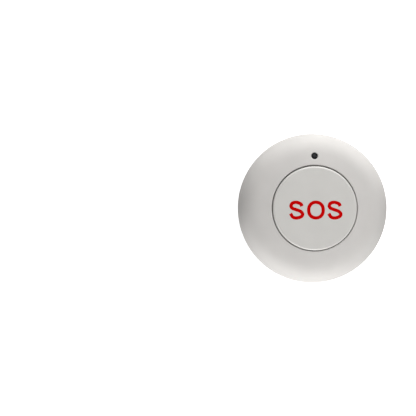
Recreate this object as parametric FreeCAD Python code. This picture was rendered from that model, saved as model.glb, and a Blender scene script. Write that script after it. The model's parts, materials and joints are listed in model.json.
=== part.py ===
import FreeCAD, Part
import math
import os

from FreeCAD import Vector

# A round wireless panic button. Millimetres and degrees. The origin is the centre of the flat back, +Z points
# out through the push cap and +Y towards the indicator window, so the button stands on its back.
# A "slope" is the angle between a surface's outward normal and +Z.

# Housing outside
body_r = 30.0           # at the parting line, where the button is widest
lip_z = 16.9            # front shell's lip round the cap, above the back
parting_z = 3.2         # lower edge of the front shell
shell_wall = 2.0
crown_slope = 12.0      # of the cone round the cap
skirt_slope = 86.0      # the shoulder rolls over to this, and leaves the side its draft
skirt_run = 0.27        # how far the skirt below the shoulder spreads outwards
lip_bevel = 0.3
reveal = 0.3            # shadow gap at the parting line, and how far the rear shell stays inside it
rear_edge_r = 2.6
edge_steps = 3          # straight steps round the cap's edge and the rear shell's edge
tongue_wall = 1.3
tongue_h = 2.3          # rear shell's tongue, above the parting gap
tongue_play = 0.15

# Push cap and its guide
cap_r = 16.6
cap_gap = 0.3           # between the cap and the shell's hole
cap_proud = 0.7         # top of the cap above the lip
cap_flat_r = 8.0        # flat middle of the cap
cap_slope = 2.5         # fall of the cap from there to its edge
cap_edge_r = 0.9
cap_plate = 1.6
cap_skirt = 1.2
press_travel = 1.0
press_floor = 0.2       # left between the cap and the board when it is fully pressed
flange_reach = 0.9      # retaining flange beyond the cap's skirt
flange_h = 0.9
flange_play = 0.2       # between the flange and the guide's lower edge
guide_wall = 1.2
key_count = 3
key_angle = 30.0        # first key, from +X
key_w = 2.4
key_reach = 0.3         # keys beyond the flange
key_h = 1.5             # keys above the flange
key_play = 0.2
cap_rib_count = 6       # ribs under the cap, whose inner ends centre the spring
cap_rib_w = 1.0
cap_rib_h = 1.4

# Return spring
spring_r = 5.2          # to the middle of the wire
spring_wire_r = 0.25
spring_turns = 3.5
spring_play = 0.25      # to the ribs round it
spring_end_gap = 0.05   # under the cap
spring_sides = 6        # flats round the wire
spring_steps = 16       # straight steps in a turn

# Rear shell, battery cup and door
floor_t = 1.8
cell_r = 12.25
cell_h = 5.0
cell_play = 0.2
cell_step = 0.25        # height of the negative cap above the can's crimp
cell_negative_r = 10.4
cell_crimp = 0.5
cup_wall = 1.2
cup_flange_t = 1.0
door_r = 14.4
door_t = 1.6
door_play = 0.2
door_recess = 0.3       # outside of the door above the back plane
door_chamfer = 0.3
door_pad_r = 10.8       # raised middle that backs the cell
door_pad_h = 0.4
door_pad_gap = 0.1      # between the door's pad and the cell
coin_slot_l = 18.0
coin_slot_w = 1.8
coin_slot_depth = 0.9
lug_count = 3
lug_w = 1.3             # reach of a lug beyond the door
lug_root = 1.2          # how far a lug runs in over the door
lug_h = 1.05
lug_span = 20.0
lug_play = 2.0          # degrees on either side of a lug in its notch
lug_headroom = 0.25
notch_angle = 90.0      # first notch, from +X
door_turn = 30.0        # from locked to open
ring_wall = 1.2

# Keyholes for wall screws
keyhole_x = 21.0
keyhole_entry_r = 3.3
keyhole_slot_r = 1.7
keyhole_drop = 7.0      # from the entry's centre to the slot's end

# Circuit board
contact_room = 1.6      # between the cell and the board
board_t = 1.2
board_margin = 1.6      # to the front shell's inner wall
board_notch_play = 0.3
board_rib_w = 1.2       # ribs in the front shell that press on the board
board_rib_play = 0.85   # from the antenna to the ribs

# Housing screws, countersunk, driven from the back into the front shell's bosses
screw_angles = (50.0, 130.0, 270.0)
screw_head_r = 1.9
screw_sink = 0.15       # head below the back plane
screw_shank_r = 0.975
screw_l = 9.5
screw_seat_play = 0.03
screw_shank_play = 0.15
pilot_play = 0.025
pilot_spare = 0.6       # pilot hole beyond the screw's tip
boss_r = 2.5

# Indicator window and diode
window_r = 1.25
window_margin = 0.35    # between the window and the shoulder's start
window_play = 0.05
window_sink = 0.25      # top of the light pipe below the shell's face
window_bevel = 0.2
pipe_foot_r = 1.9       # the wider foot that keeps the pipe from falling out
pipe_seat_drop = 1.0    # pipe's seat below the shell's inner face
pipe_boss_r = 2.8
pipe_guide_gap = 0.6    # between the pipe's foot and the cap's guide
pipe_gap = 0.25         # above the diode
led_size = (2.0, 1.25)
led_base_h = 0.35
led_lens_h = 0.45
led_lens_share = 0.6    # lens against the base

# Tactile switch
switch_side = 6.0
switch_base_h = 3.1
switch_corner = 0.5
switch_cover_t = 0.25
switch_cover_side = 5.8
stem_r = 1.75
stem_shoulder_r = 2.3
stem_play = 0.15
stem_above_cover = 0.95
switch_stroke = 0.3
switch_gap = 0.05       # left between plunger and stem when the cap is fully pressed
switch_floor_t = 0.9
snap_dome_t = 0.12
snap_dome_h = 0.45
plunger_r = 2.2
leg_w = 0.7
leg_t = 0.3
leg_y = 2.25
leg_below_board = 0.7
leg_play = 0.15

# Sheet-metal battery contacts
strip_t = 0.2
negative_w = 3.0
negative_reach = 4.8    # from the cell's middle to the bend at the foot
negative_touch = 1.2    # length that lies on the cell
negative_tip_rise = 0.4
positive_w = 4.0
contact_foot = 2.4
positive_play = 0.03    # between the clip's bow and the cell's rim
positive_bow = 0.6      # how far the bow stands in from the leg
positive_touch = 0.4    # height of the bow's flat
well_slot_play = 0.5

# Parts on the board
chip_at = (-10.0, 0.0)
chip_size = (4.9, 3.9, 1.4)
chip_standoff = 0.1
lead_count = 4          # on either side of the chip
lead_pitch = 1.27
lead_w = 0.42
lead_t = 0.18
lead_reach = 1.05
lead_foot = 0.55
crystal_at = (0.0, -10.0)
crystal_size = (5.0, 3.2, 1.1)
crystal_corner = 0.6
transistor_at = (9.4, -6.4)
transistor_size = (2.9, 1.3, 1.0)
chip_part_size = (2.0, 1.25)
resistor_h = 0.5
capacitor_h = 0.85
resistor_x = (8.4, 11.4)
resistor_y = (-1.8, 0.4, 2.6)
capacitor_x = (-6.0, -2.8, 2.8, 6.0)
capacitor_y = 9.2
antenna_play = 1.15     # between the cap's keys and the stamped loop
antenna_w = 0.7
antenna_t = 0.3
antenna_lift = 1.2      # above the board
antenna_angle = 340.0   # middle of the loop, between two bosses
antenna_span = 104.0
antenna_foot_span = 4.0

# Levels, from the back to the front
door_inner_z = door_recess + door_t
cell_z = door_inner_z + door_pad_h + door_pad_gap
cell_top_z = cell_z + cell_h
board_z = cell_top_z + contact_room
board_top_z = board_z + board_t
rear_rim_z = parting_z - reveal
tongue_top_z = rear_rim_z + tongue_h
cup_floor_z = door_inner_z + lug_h + lug_headroom
cup_top_z = cup_floor_z + cup_flange_t
cap_bottom_z = board_top_z + press_floor + press_travel
flange_top_z = cap_bottom_z + flange_h
guide_bottom_z = flange_top_z + flange_play
key_top_z = flange_top_z + key_h
cap_top_z = lip_z + cap_proud
plate_z = cap_top_z - cap_plate
switch_top_z = board_top_z + switch_base_h
cover_top_z = switch_top_z + switch_cover_t
stem_top_z = cover_top_z + stem_above_cover
plunger_z = stem_top_z + press_travel - switch_stroke + switch_gap
led_top_z = board_top_z + led_base_h + led_lens_h

# Radii that follow from the above
hole_r = cap_r + cap_gap
skirt_in_r = cap_r - cap_skirt
flange_r = cap_r + flange_reach
key_r = flange_r + key_reach
guide_r = hole_r + guide_wall
rib_in_r = spring_r + spring_wire_r + spring_play
opening_r = door_r + door_play
lug_r = door_r + lug_w
ring_in_r = lug_r + door_play
ring_out_r = ring_in_r + ring_wall
well_in_r = cell_r + cell_play
well_out_r = well_in_r + cup_wall
rear_r = body_r - reveal
antenna_r = key_r + antenna_play + antenna_w / 2
board_rib_r = antenna_r + antenna_w / 2 + board_rib_play
window_y = guide_r + pipe_guide_gap + pipe_foot_r
crown_r = window_y + window_r + window_margin
shoulder_slopes = (crown_slope, (crown_slope + skirt_slope) / 2, skirt_slope)
through = 40.0          # long enough for any cut to pass right through
overcut = 1.0           # how far a shorter cut starts outside what it cuts


def at(radius, z):
    """A point of a turned outline: its distance from the axis and its height."""
    return Vector(radius, 0, z)


def leaning(start, slope, length):
    """The point a length away from start, along a normal that leans by slope."""
    lean = math.radians(slope)
    return at(start.x + length * math.sin(lean), start.z + length * math.cos(lean))


def edge_slopes(start, end):
    """Slopes at which a rounded edge is divided, from its start to its end."""
    return [start + (end - start) * i / edge_steps for i in range(edge_steps + 1)]


def crown_height(radius, inset=0.0):
    """Height of the crown, moved inwards by inset, at a distance from the axis."""
    lean = math.radians(crown_slope)
    return lip_z - (radius - hole_r) * math.tan(lean) - inset / math.cos(lean)


def shoulder():
    """Centre and radius of the shoulder's arc, which starts in line with the crown and ends at the skirt."""
    rise = math.sin(math.radians(skirt_slope)) - math.sin(math.radians(crown_slope))
    radius = (body_r - skirt_run - crown_r) / rise
    return leaning(at(crown_r, crown_height(crown_r)), crown_slope, -radius), radius


def on_shoulder(slope, inset=0.0):
    centre, radius = shoulder()
    return leaning(centre, slope, radius - inset)


def skirt_foot(inset=0.0):
    return leaning(at(body_r, parting_z), skirt_slope, -inset)


def outline_points(inset):
    """Corners of the housing outline, set inwards, from lip to foot. Two cones stand for the shoulder."""
    corners = [on_shoulder(slope, inset) for slope in shoulder_slopes]
    return [leaning(at(hole_r, lip_z), crown_slope, -inset)] + corners + [skirt_foot(inset)]


def inside_radius(z):
    """Radius of the front shell's inner wall at height z."""
    points = outline_points(shell_wall)
    above, below = next(pair for pair in zip(points, points[1:]) if z > pair[1].z or pair[1] is points[-1])
    return below.x + (above.x - below.x) * (z - below.z) / (above.z - below.z)


def line(start, end):
    return Part.LineSegment(start, end).toShape()


def polyline(points):
    return [line(a, b) for a, b in zip(points, points[1:])]


def turned(edges):
    """The solid that a closed outline beside the axis sweeps when it is turned about Z."""
    face = Part.Face(Part.Wire(edges))
    return face.revolve(Vector(0, 0, 0), Vector(0, 0, 1), 360)


def turned_points(*points):
    """A turned solid with a straight-sided outline of (radius, z) points."""
    corners = [at(r, z) for r, z in points]
    return turned(polyline(corners + corners[:1]))


def rod(radius, z_low, z_high, x=0.0, y=0.0):
    return Part.makeCylinder(radius, z_high - z_low, Vector(x, y, z_low))


def ring(inner, outer, z_low, z_high):
    return rod(outer, z_low, z_high).cut(rod(inner, z_low - overcut, z_high + overcut))


def block(size, centre, z_low, z_high):
    """An upright box with its sides along X and Y."""
    corner = Vector(centre[0] - size[0] / 2, centre[1] - size[1] / 2, z_low)
    return Part.makeBox(size[0], size[1], z_high - z_low, corner)


def bar(inner, outer, width, z_low, z_high):
    """A straight-sided bar along +X, between two distances from the axis."""
    return block((outer - inner, width), ((inner + outer) / 2, 0), z_low, z_high)


def sector(inner, outer, angle, span, z_low, z_high):
    """A piece of a ring, span degrees wide and centred on angle."""
    wedge = Part.makeCylinder(outer, z_high - z_low, Vector(0, 0, z_low), Vector(0, 0, 1), span)
    wedge = wedge.cut(rod(inner, z_low - overcut, z_high + overcut))
    return spun(wedge, angle - span / 2)


def slot(radius, start, end, z_low, z_high):
    """A round-ended slot along Y between two points."""
    ends = [rod(radius, z_low, z_high, *point) for point in (start, end)]
    middle = (start[0], (start[1] + end[1]) / 2)
    return ends[0].fuse([ends[1], block((2 * radius, end[1] - start[1]), middle, z_low, z_high)])


def spun(shape, angle):
    turned_copy = shape.copy()
    turned_copy.rotate(Vector(0, 0, 0), Vector(0, 0, 1), angle)
    return turned_copy


def moved(shape, x=0.0, y=0.0, z=0.0):
    moved_copy = shape.copy()
    moved_copy.translate(Vector(x, y, z))
    return moved_copy


def around(shape, count, first=0.0):
    return [spun(shape, first + 360.0 * i / count) for i in range(count)]


def ribbon(path, thickness, width):
    """A strip of sheet metal along a path of (x, z) points, with mitred bends, centred on y = 0."""
    steps = [Vector(b[0] - a[0], 0, b[1] - a[1]).normalize() for a, b in zip(path, path[1:])]
    upper, lower = [], []
    for i, (x, z) in enumerate(path):
        before, after = steps[max(i - 1, 0)], steps[min(i, len(steps) - 1)]
        across = Vector(-(before.z + after.z), 0, before.x + after.x)
        across.multiply(thickness / 2 / (1 + before.dot(after)))
        upper.append(Vector(x, -width / 2, z) + across)
        lower.append(Vector(x, -width / 2, z) - across)
    corners = upper + lower[::-1]
    return Part.Face(Part.Wire(polyline(corners + corners[:1]))).extrude(Vector(0, width, 0))


def joined(first, *others):
    return first.fuse(list(others)).removeSplitter()


def screw_circle_r():
    """The screws stand half-way between the cap's guide and the front shell's wall."""
    return (guide_r + inside_radius(board_top_z)) / 2


def screw_places():
    """Centres of the housing screws, as (x, y)."""
    return [(spot.x, spot.y) for spot in (spun_point(screw_circle_r(), angle) for angle in screw_angles)]


def spun_point(radius, angle):
    lean = math.radians(angle)
    return Vector(radius * math.cos(lean), radius * math.sin(lean), 0)


def housing_form(edges, top, foot):
    """The filled form under a run of edges from the lip to the parting line, down to the back plane."""
    return turned(edges + polyline([foot, at(foot.x, 0), at(0, 0), at(0, top.z), top]))


def outer_form():
    top, foot = at(hole_r, lip_z), skirt_foot()
    start, middle, end = [on_shoulder(slope) for slope in shoulder_slopes]
    arc = Part.Arc(start, middle, end).toShape()
    return housing_form([line(top, start), arc, line(end, foot)], top, foot)


def inner_form(inset):
    """The same form set inwards, with two cones inside the shoulder."""
    points = outline_points(inset)
    return housing_form(polyline(points), points[0], points[-1])


def make_front_shell():
    shell = outer_form().cut(inner_form(shell_wall)).cut(rod(2 * body_r, 0, parting_z))
    upstands = [ring(hole_r, guide_r, guide_bottom_z, lip_z)]
    upstands += [rod(boss_r, floor_t, lip_z, *place) for place in screw_places()]
    upstands += around(bar(board_rib_r, body_r, board_rib_w, board_top_z, lip_z), 2)
    upstands.append(rod(pipe_boss_r, pipe_seat_z(), lip_z, 0, window_y))
    core = inner_form(shell_wall / 2)
    shell = joined(shell, *[upstand.common(core) for upstand in upstands])

    bevel = Part.makeCone(hole_r, hole_r + 2 * lip_bevel, 2 * lip_bevel, Vector(0, 0, lip_z - lip_bevel))
    cuts = [rod(hole_r, 0, through), bevel]
    key_slot = bar(0, key_r + key_play, key_w + 2 * key_play, guide_bottom_z, key_top_z + key_play)
    cuts += around(key_slot, key_count, key_angle)
    pilot_top = screw_sink + screw_l + pilot_spare
    cuts += [rod(screw_shank_r + pilot_play, 0, pilot_top, *place) for place in screw_places()]
    hole = window_r + window_play
    cuts.append(rod(hole, 0, through, 0, window_y))
    bevel_foot = Vector(0, window_y, crown_height(window_y, window_bevel))
    square_to_crown = Vector(0, math.sin(math.radians(crown_slope)), math.cos(math.radians(crown_slope)))
    cuts.append(Part.makeCone(hole, hole + 2 * window_bevel, 2 * window_bevel, bevel_foot, square_to_crown))
    for cut in cuts:
        shell = shell.cut(cut)
    return shell


def make_rear_shell():
    edge_centre = at(rear_r - rear_edge_r, rear_edge_r)
    edge = [leaning(edge_centre, slope, rear_edge_r) for slope in edge_slopes(180, 90)]
    tongue_out = inside_radius(tongue_top_z) - tongue_play
    tongue_in = tongue_out - tongue_wall
    inside = [at(rear_r, rear_rim_z), at(tongue_out, rear_rim_z),
              at(tongue_out, tongue_top_z), at(tongue_in, tongue_top_z), at(tongue_in, floor_t),
              at(ring_out_r, floor_t), at(ring_out_r, cup_top_z), at(well_out_r, cup_top_z),
              at(well_out_r, board_z), at(well_in_r, board_z), at(well_in_r, cup_floor_z),
              at(ring_in_r, cup_floor_z), at(ring_in_r, floor_t), at(opening_r, floor_t),
              at(opening_r, 0), edge[0]]
    shell = turned(polyline(edge + inside))

    notch = sector(opening_r - overcut, ring_in_r, 0, lug_span + 2 * lug_play, -overcut, floor_t)
    cuts = around(notch, lug_count, notch_angle)
    hole = screw_shank_r + screw_shank_play
    mouth = screw_head_r + screw_sink + screw_seat_play
    for place in screw_places():
        cuts.append(rod(hole, -overcut, through, *place))
        cuts.append(Part.makeCone(mouth + overcut, hole, mouth + overcut - hole, Vector(*place, -overcut)))
    for x in (-keyhole_x, keyhole_x):
        cuts.append(rod(keyhole_entry_r, -overcut, floor_t + overcut, x, 0))
        cuts.append(slot(keyhole_slot_r, (x, 0), (x, keyhole_drop), -overcut, floor_t + overcut))
    clip_slot = (2 * (well_out_r - cell_r), positive_w + 2 * well_slot_play)
    cuts.append(block(clip_slot, (well_out_r, 0), cup_top_z, through))
    for cut in cuts:
        shell = shell.cut(cut)
    return shell.removeSplitter()


def make_button_cap():
    edge_r = cap_r - cap_edge_r
    fall = math.radians(cap_slope)
    edge_z = cap_top_z - (edge_r - cap_flat_r) * math.tan(fall) - cap_edge_r / math.cos(fall)
    edge = [leaning(at(edge_r, edge_z), slope, cap_edge_r) for slope in edge_slopes(cap_slope, 90)]
    underside = [at(cap_r, flange_top_z), at(flange_r, flange_top_z), at(flange_r, cap_bottom_z),
                 at(skirt_in_r, cap_bottom_z), at(skirt_in_r, plate_z), at(plunger_r, plate_z),
                 at(plunger_r, plunger_z), at(0, plunger_z), at(0, cap_top_z), at(cap_flat_r, cap_top_z)]
    cap = turned(polyline([underside[-1]] + edge + underside))
    skirt_middle = cap_r - cap_skirt / 2
    rib = bar(rib_in_r, skirt_middle, cap_rib_w, plate_z - cap_rib_h, plate_z + cap_plate / 2)
    key = bar(skirt_middle, key_r, key_w, cap_bottom_z, key_top_z)
    return joined(cap, *around(rib, cap_rib_count), *around(key, key_count, key_angle))


def pipe_seat_z():
    """Where the light pipe's foot meets its boss in the front shell."""
    return crown_height(window_y, shell_wall) - pipe_seat_drop


def make_light_pipe():
    low, top = led_top_z + pipe_gap, crown_height(window_y) - window_sink
    seat = pipe_seat_z()
    pipe = turned_points((0, low), (pipe_foot_r, low), (pipe_foot_r, seat), (window_r, seat), (window_r, top),
                         (0, top))
    return moved(pipe, y=window_y)


def make_return_spring():
    """A coil of wire, lofted through sections that follow the helix one after the other."""
    low = board_top_z + spring_wire_r
    rise = plate_z - spring_end_gap - spring_wire_r - low
    whole_turn = 2 * math.pi * spring_turns
    steps = round(spring_turns * spring_steps)
    sections = []
    for i in range(steps + 1):
        turn = whole_turn * i / steps
        outwards = Vector(math.cos(turn), math.sin(turn), 0)
        along = Vector(-math.sin(turn), math.cos(turn), rise / (whole_turn * spring_r)).normalize()
        upwards = outwards.cross(along)
        centre = outwards * spring_r + Vector(0, 0, low + rise * i / steps)
        rolls = [2 * math.pi * k / spring_sides for k in range(spring_sides)]
        corners = [centre + (outwards * math.cos(r) + upwards * math.sin(r)) * spring_wire_r for r in rolls]
        sections.append(Part.makePolygon(corners + corners[:1]))
    return Part.makeLoft(sections, True, True)


def make_circuit_board():
    board = rod(inside_radius(board_top_z) - board_margin, board_z, board_top_z)
    notch_r = boss_r + board_notch_play
    mouth = bar(screw_circle_r(), body_r, 2 * notch_r, 0, through)
    cuts = [rod(notch_r, 0, through, *place) for place in screw_places()]
    cuts += [spun(mouth, angle) for angle in screw_angles]
    hole = (leg_t + 2 * leg_play, leg_w + 2 * leg_play)
    cuts += [block(hole, place, 0, through) for place in leg_places()]
    for cut in cuts:
        board = board.cut(cut)
    return board.removeSplitter()


def leg_places():
    x = (switch_side + leg_t) / 2
    return [(side * x, y) for side in (-1, 1) for y in (-leg_y, leg_y)]


def make_switch_base():
    base = block((switch_side, switch_side), (0, 0), board_top_z, switch_top_z)
    upright = [e for e in base.Edges if abs(e.tangentAt(e.FirstParameter).z) > 0.9]
    base = base.makeChamfer(switch_corner, upright)
    return base.cut(rod(stem_shoulder_r + stem_play, board_top_z + switch_floor_t, through))


def make_switch_cover():
    plate = block((switch_cover_side, switch_cover_side), (0, 0), switch_top_z, cover_top_z)
    return plate.cut(rod(stem_r + stem_play, 0, through))


def stem_bottom_z():
    return board_top_z + switch_floor_t + snap_dome_h + switch_gap


def make_switch_stem():
    bottom, shoulder = stem_bottom_z(), switch_top_z - stem_play
    return turned_points((0, bottom), (stem_shoulder_r, bottom), (stem_shoulder_r, shoulder),
                         (stem_r, shoulder), (stem_r, stem_top_z), (0, stem_top_z))


def make_switch_dome():
    """A thin coned disc on the floor of the switch's well."""
    rim = stem_shoulder_r
    floor = board_top_z + switch_floor_t
    return turned_points((0, floor + snap_dome_h), (rim, floor + snap_dome_t), (rim, floor),
                         (0, floor + snap_dome_h - snap_dome_t))


def make_switch_terminals():
    """Four legs that run from the switch's sides through the board."""
    top = board_top_z + switch_floor_t
    legs = [block((leg_t, leg_w), place, board_z - leg_below_board, top) for place in leg_places()]
    return Part.makeCompound(legs)


def make_status_led():
    lens_size = [side * led_lens_share for side in led_size]
    base = block(led_size, (0, window_y), board_top_z, board_top_z + led_base_h)
    return joined(base, block(lens_size, (0, window_y), board_top_z + led_base_h, led_top_z))


def make_loop_antenna():
    """A stamped band that runs round above the board's edge, with a foot at either end."""
    inner, outer = antenna_r - antenna_w / 2, antenna_r + antenna_w / 2
    top = board_top_z + antenna_lift + antenna_t
    band = sector(inner, outer, antenna_angle, antenna_span, board_top_z + antenna_lift, top)
    reach = (antenna_span - antenna_foot_span) / 2
    angles = [antenna_angle - reach, antenna_angle + reach]
    return joined(band, *[sector(inner, outer, a, antenna_foot_span, board_top_z, top) for a in angles])


def make_encoder_chip():
    low = board_top_z + chip_standoff
    body = block(chip_size[:2], chip_at, low, low + chip_size[2])
    upper = [e for e in body.Edges if e.CenterOfMass.z > low + chip_size[2] - 1e-3]
    return body.makeChamfer(lead_t, upper)


def gull_wing():
    """One lead, from the side of a moulded body down to the board, running along +X."""
    high = board_top_z + chip_standoff + chip_size[2] / 2
    low = board_top_z + lead_t / 2
    knee = (lead_reach - lead_foot) / 2
    return ribbon([(0, high), (knee, high), (lead_reach - lead_foot, low), (lead_reach, low)], lead_t, lead_w)


def make_chip_leads():
    leads = []
    for side in (-90, 90):
        lead = moved(gull_wing(), x=chip_size[1] / 2)
        for i in range(lead_count):
            shift = (i - (lead_count - 1) / 2) * lead_pitch
            leads.append(moved(spun(lead, side), x=chip_at[0] + shift, y=chip_at[1]))
    return Part.makeCompound(leads)


def make_crystal_can():
    can = block(crystal_size[:2], crystal_at, board_top_z, board_top_z + crystal_size[2])
    upright = [e for e in can.Edges if abs(e.tangentAt(e.FirstParameter).z) > 0.9]
    return can.makeChamfer(crystal_corner, upright)


def make_rf_transistor():
    """A small three-legged moulded part, sealed, so it is one solid with its legs."""
    x, y = transistor_at
    length, width, height = transistor_size
    low = board_top_z + chip_standoff
    body = block((length, width), transistor_at, low, low + height)
    foot = (lead_w, (lead_foot + width) / 2)
    reach = (width + foot[1]) / 2 - lead_t
    legs = [(x - length / 3, y - reach), (x + length / 3, y - reach), (x, y + reach)]
    return joined(body, *[block(foot, leg, board_top_z, low + lead_t) for leg in legs])


def make_chip_resistors():
    return Part.makeCompound([block(chip_part_size, (x, y), board_top_z, board_top_z + resistor_h)
                              for x in resistor_x for y in resistor_y])


def make_chip_capacitors():
    return Part.makeCompound([block(chip_part_size, (x, capacitor_y), board_top_z, board_top_z + capacitor_h)
                              for x in capacitor_x])


def make_battery_cell():
    """A sealed coin cell: the can with its crimped edge, and the smaller negative cap on top."""
    crimp_z = cell_top_z - cell_step
    return turned_points((0, cell_z), (cell_r, cell_z), (cell_r, crimp_z - cell_crimp),
                         (cell_r - cell_crimp, crimp_z), (cell_negative_r, crimp_z),
                         (cell_negative_r, cell_top_z), (0, cell_top_z))


def make_negative_contact():
    """A leaf from the board's underside that leans down onto the middle of the cell."""
    foot_z = board_z - strip_t / 2
    touch_z = cell_top_z + strip_t / 2
    half = negative_touch / 2
    path = [(-negative_reach - contact_foot, foot_z), (-negative_reach, foot_z), (-half, touch_z),
            (half, touch_z), (negative_touch, touch_z + negative_tip_rise)]
    return spun(ribbon(path, strip_t, negative_w), 90)


def make_positive_contact():
    """A clip from the board's underside whose bow bears on the cell's rim through the cup's slot."""
    foot_z = board_z - strip_t / 2
    bow_r = cell_r + positive_play + strip_t / 2
    leg_r = bow_r + positive_bow
    bow_z = cell_z + cell_h / 2
    half = positive_touch / 2
    path = [(leg_r + contact_foot, foot_z), (leg_r, foot_z), (leg_r, cell_top_z), (bow_r, bow_z + half),
            (bow_r, bow_z - half), (leg_r, cup_top_z + strip_t)]
    return ribbon(path, strip_t, positive_w)


def make_battery_door():
    pad_z = door_inner_z + door_pad_h
    door = turned_points((0, door_recess), (door_r - door_chamfer, door_recess),
                         (door_r, door_recess + door_chamfer), (door_r, door_inner_z),
                         (door_pad_r, door_inner_z), (door_pad_r, pad_z), (0, pad_z))
    lug = sector(door_r - lug_root, lug_r, 0, lug_span, door_inner_z, door_inner_z + lug_h)
    door = joined(door, *around(lug, lug_count, notch_angle + door_turn))
    half = (coin_slot_l - coin_slot_w) / 2
    coin_slot = slot(coin_slot_w / 2, (0, -half), (0, half), 0, door_recess + coin_slot_depth)
    return door.cut(spun(coin_slot, 90))


def make_housing_screws():
    """Countersunk screws that point up from the back. Their threads and cross recesses aren't modelled."""
    neck_z = screw_sink + screw_head_r - screw_shank_r
    tip_z = screw_sink + screw_l
    screw = turned_points((0, screw_sink), (screw_head_r, screw_sink), (screw_shank_r, neck_z),
                          (screw_shank_r, tip_z), (0, tip_z))
    return Part.makeCompound([moved(screw, *place) for place in screw_places()])


PIECES = {
    "front_shell": make_front_shell,
    "rear_shell": make_rear_shell,
    "button_cap": make_button_cap,
    "light_pipe": make_light_pipe,
    "return_spring": make_return_spring,
    "circuit_board": make_circuit_board,
    "switch_base": make_switch_base,
    "switch_cover": make_switch_cover,
    "switch_stem": make_switch_stem,
    "switch_dome": make_switch_dome,
    "switch_terminals": make_switch_terminals,
    "status_led": make_status_led,
    "loop_antenna": make_loop_antenna,
    "encoder_chip": make_encoder_chip,
    "chip_leads": make_chip_leads,
    "crystal_can": make_crystal_can,
    "rf_transistor": make_rf_transistor,
    "chip_resistors": make_chip_resistors,
    "chip_capacitors": make_chip_capacitors,
    "battery_cell": make_battery_cell,
    "negative_contact": make_negative_contact,
    "positive_contact": make_positive_contact,
    "battery_door": make_battery_door,
    "housing_screws": make_housing_screws,
}

os.makedirs("parts", exist_ok=True)
for name, make in PIECES.items():
    shape = make()
    shape.exportStep(os.path.join("parts", name + ".step"))
    print(f"{name:18s} solids {len(shape.Solids)} valid {shape.isValid()} volume {shape.Volume:9.2f}")
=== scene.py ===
import json
from math import cos, pi, radians, sin, sqrt, tan

import bmesh
import bpy
import numpy as np
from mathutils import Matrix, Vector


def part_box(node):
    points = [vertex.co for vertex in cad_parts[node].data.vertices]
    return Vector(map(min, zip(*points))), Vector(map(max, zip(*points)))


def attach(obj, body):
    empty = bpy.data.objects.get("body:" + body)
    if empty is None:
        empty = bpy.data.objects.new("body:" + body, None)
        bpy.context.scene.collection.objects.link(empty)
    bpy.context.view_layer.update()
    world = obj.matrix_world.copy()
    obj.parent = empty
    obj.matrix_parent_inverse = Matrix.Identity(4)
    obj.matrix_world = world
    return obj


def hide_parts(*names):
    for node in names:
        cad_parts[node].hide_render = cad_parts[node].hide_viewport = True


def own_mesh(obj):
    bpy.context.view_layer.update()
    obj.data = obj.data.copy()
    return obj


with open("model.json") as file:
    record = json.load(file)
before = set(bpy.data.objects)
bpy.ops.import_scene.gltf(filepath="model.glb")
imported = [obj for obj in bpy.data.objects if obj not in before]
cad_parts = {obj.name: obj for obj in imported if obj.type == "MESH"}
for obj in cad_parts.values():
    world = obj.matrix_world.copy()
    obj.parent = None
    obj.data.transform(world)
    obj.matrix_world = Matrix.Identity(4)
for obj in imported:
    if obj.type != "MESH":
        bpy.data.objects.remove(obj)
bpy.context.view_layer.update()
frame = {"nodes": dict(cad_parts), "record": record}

# Sizes in metres, the same as the solids'. The origin is the centre of the flat back, +Z points out through
# the push cap and +Y towards the indicator window.
MM = 0.001
BODY_R, PARTING_Z, WALL = 30.0 * MM, 3.2 * MM, 2.0 * MM
HOLE_R, LIP_Z, GUIDE_R, GUIDE_Z = 16.9 * MM, 16.9 * MM, 18.1 * MM, 12.5 * MM
CROWN_SLOPE, SKIRT_SLOPE, SHOULDER_R = radians(12.0), radians(86.0), 9.53 * MM
SHOULDER_EASE = 2.4 * MM  # how far the shoulder's bend sets in ahead of its arc
BOSS_R, BOSS_BORE_R, BOSS_LOW_Z = 2.5 * MM, 1.0 * MM, 1.8 * MM
WINDOW_Y, WINDOW_R, WINDOW_FOOT_R, WINDOW_FOOT_T = 20.6 * MM, 1.25 * MM, 1.9 * MM, 1.0 * MM
BORE_R, BEVEL = 1.3 * MM, 0.2 * MM
CAP_R, CAP_EDGE_R, CAP_TOP_Z, CAP_DOME_R = 16.6 * MM, 0.9 * MM, 17.575 * MM, 367.0 * MM
CAP_SKIRT_R, FLANGE_R, FLANGE_Z, CAP_LOW_Z = 15.4 * MM, 17.5 * MM, 12.3 * MM, 11.4 * MM
CAP_PLAY = (0.06 * MM, -0.06 * MM)  # where the loose cap rests in its guide
PLATE_Z, PLUNGER_R, PLUNGER_Z = 16.0 * MM, 2.2 * MM, 15.25 * MM
BOARD_Z = 10.2 * MM
SCREWS = [(22.25 * MM, radians(a)) for a in (50.0, 130.0, 270.0)]  # radius and angle of each
INK_T, STROKE_WIDE, STROKE_THIN = 0.02 * MM, 1.34 * MM, 1.28 * MM
SHARP = 35.0  # degrees between two faces from which their edge stays sharp
MIDDLE, MOST = (0.3, 0.7), (0.2, 0.8)  # ranges that hold the middle and most of a noise's values


def leaning(point, slope, length):
    """The point a length away from another, along a direction that leans by slope from +Z."""
    return (point[0] + length * sin(slope), point[1] + length * cos(slope))


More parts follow.
